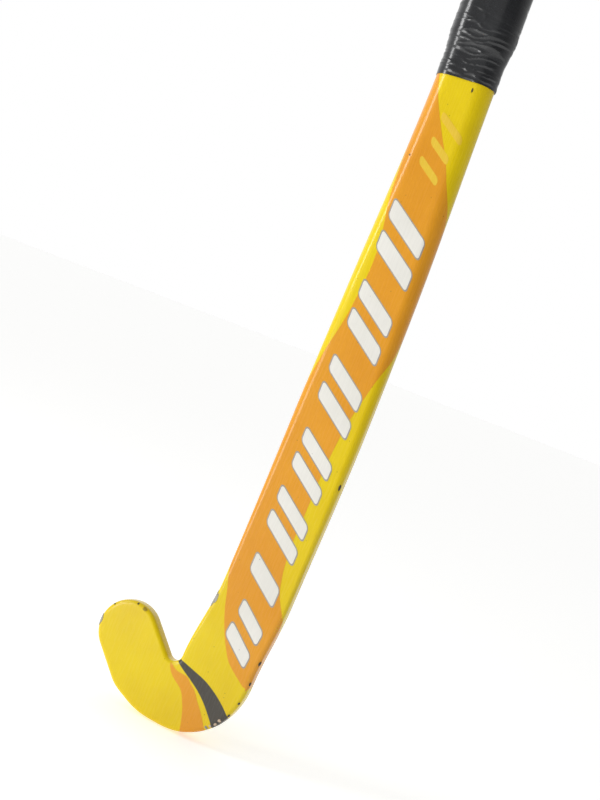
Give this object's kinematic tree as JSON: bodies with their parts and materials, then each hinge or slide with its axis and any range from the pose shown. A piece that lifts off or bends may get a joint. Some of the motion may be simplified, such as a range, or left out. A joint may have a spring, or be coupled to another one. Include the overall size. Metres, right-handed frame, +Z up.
{
  "type": "field hockey stick",
  "caption": "Composite field hockey stick: hooked head with a flat playing face and rounded back, slightly bowed shaft, taped cushion grip and butt cap.",
  "frame": {"origin": "on the ground under the middle of the stick's box, with the stick upright on its head", "axes": "+Z up the stick from the head to the butt; the flat playing face looks towards -Y and the rounded back towards +Y; the toe points towards -X"},
  "size_m": [0.115, 0.0534, 0.9281],
  "materials": {
    "painted_laminate": "sprayed and lacquered over a fibre laminate",
    "carbon_laminate": "as moulded against the bladder",
    "unidirectional_carbon": "cured prepreg",
    "core_foam": "closed-cell foam",
    "cushion_grip": "tacky polyurethane, wound",
    "vinyl_tape": "glossy stretched tape with fine wrinkles",
    "cap_rubber": "moulded, satin"
  },
  "bodies": {
    "root": {"back_strip": "unidirectional_carbon", "butt_cap": "cap_rubber", "cushion_grip": "cushion_grip", "face_strip": "unidirectional_carbon", "head_core": "core_foam", "head_liner": "carbon_laminate", "heel_side_butt_foam": "core_foam", "heel_side_tube": "carbon_laminate", "lower_tape": "vinyl_tape", "outer_wrap": "painted_laminate", "toe_side_butt_foam": "core_foam", "toe_side_tube": "carbon_laminate", "upper_tape": "vinyl_tape"}
  },
  "joints": []
}
